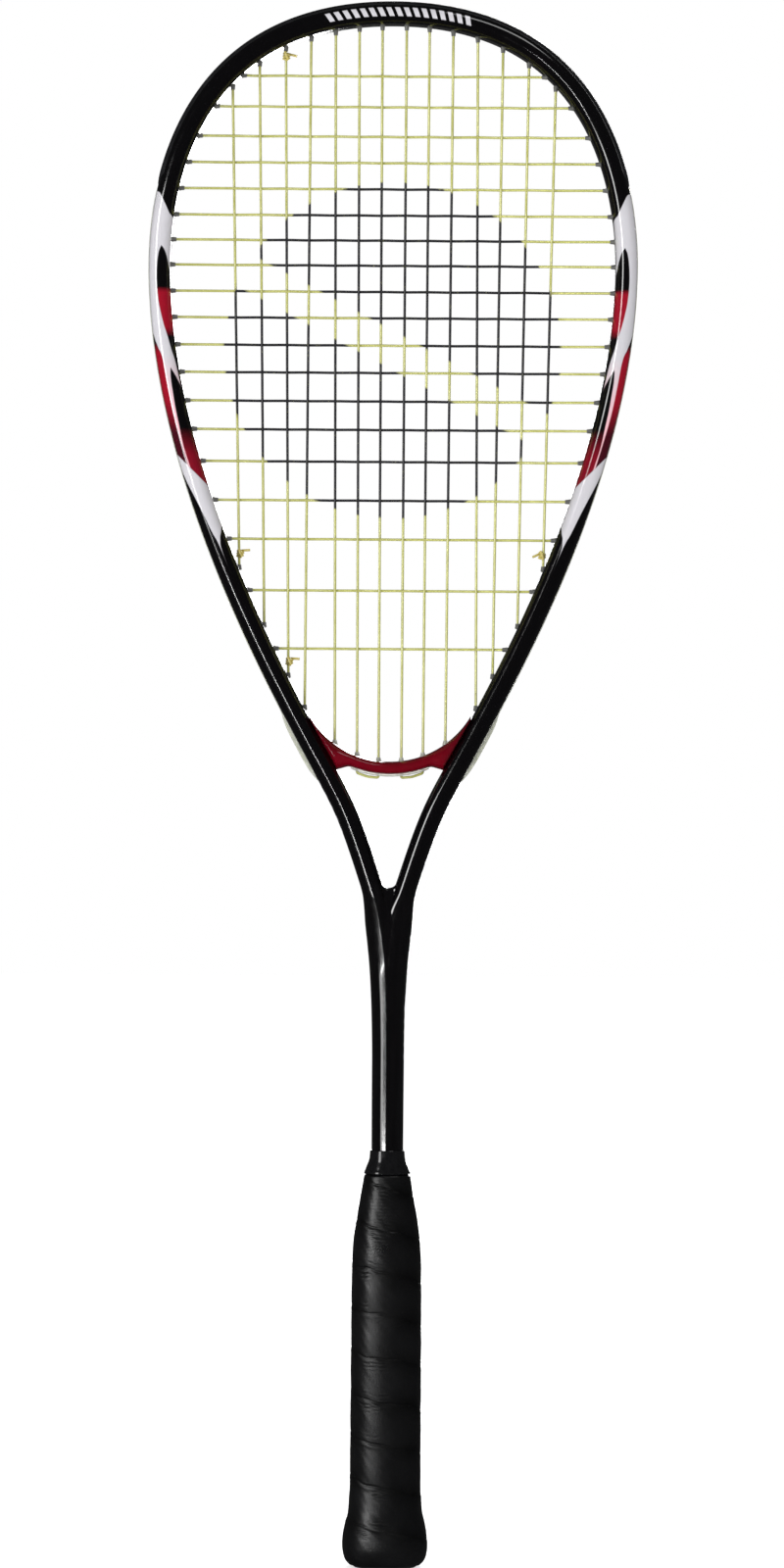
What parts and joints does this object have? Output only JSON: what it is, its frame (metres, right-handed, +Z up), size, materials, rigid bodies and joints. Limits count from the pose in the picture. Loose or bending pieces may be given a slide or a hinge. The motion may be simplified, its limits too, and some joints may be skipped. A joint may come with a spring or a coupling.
{
  "type": "squash racket",
  "caption": "Full-size squash racket: bent tube head with separate throat bridge, laced string bed, slim shaft and wrapped handle.",
  "frame": {"origin": "centre of the butt cap's flat end face", "axes": "+Z up the shaft to the tip of the head, X across the head, Y through the string face; the front of the string face looks along -Y"},
  "size_m": [0.2148, 0.0344, 0.6858],
  "materials": {
    "frame_paint": "gloss black enamel with white and red side panels on aluminium tube",
    "bridge_plastic": "gloss moulded, deep red",
    "core_plastic": "glass-filled nylon, as moulded",
    "shaft_paint": "gloss black lacquer over fibre composite",
    "bumper_plastic": "satin black",
    "clear_plastic": "clear frosted",
    "string": "pale yellow nylon, part inked black",
    "collar_rubber": "smooth satin black",
    "grip_wrap": "soft synthetic leather, spiral wound, satin",
    "handle_foam": "rigid foam, skinned",
    "cap_plastic": "satin black moulded",
    "staple_steel": "bright zinc-plated wire"
  },
  "bodies": {
    "root": {"head_tube": "frame_paint", "throat_bridge": "bridge_plastic", "throat_core": "core_plastic", "shaft": "shaft_paint", "bumper_guard": "bumper_plastic", "grommet_strip_left": "clear_plastic", "grommet_strip_right": "clear_plastic", "grommet_strip_bridge": "clear_plastic", "main_string": "string", "cross_string": "string", "main_knot_left": "string", "main_knot_right": "string", "cross_knot_top": "string", "cross_knot_low": "string", "shaft_collar": "collar_rubber", "grip_wrap": "grip_wrap", "handle_shell_front": "handle_foam", "handle_shell_back": "handle_foam", "butt_cap": "cap_plastic", "cap_staple_front": "staple_steel", "cap_staple_back": "staple_steel", "shaft_foam_plug": "handle_foam"}
  },
  "joints": []
}
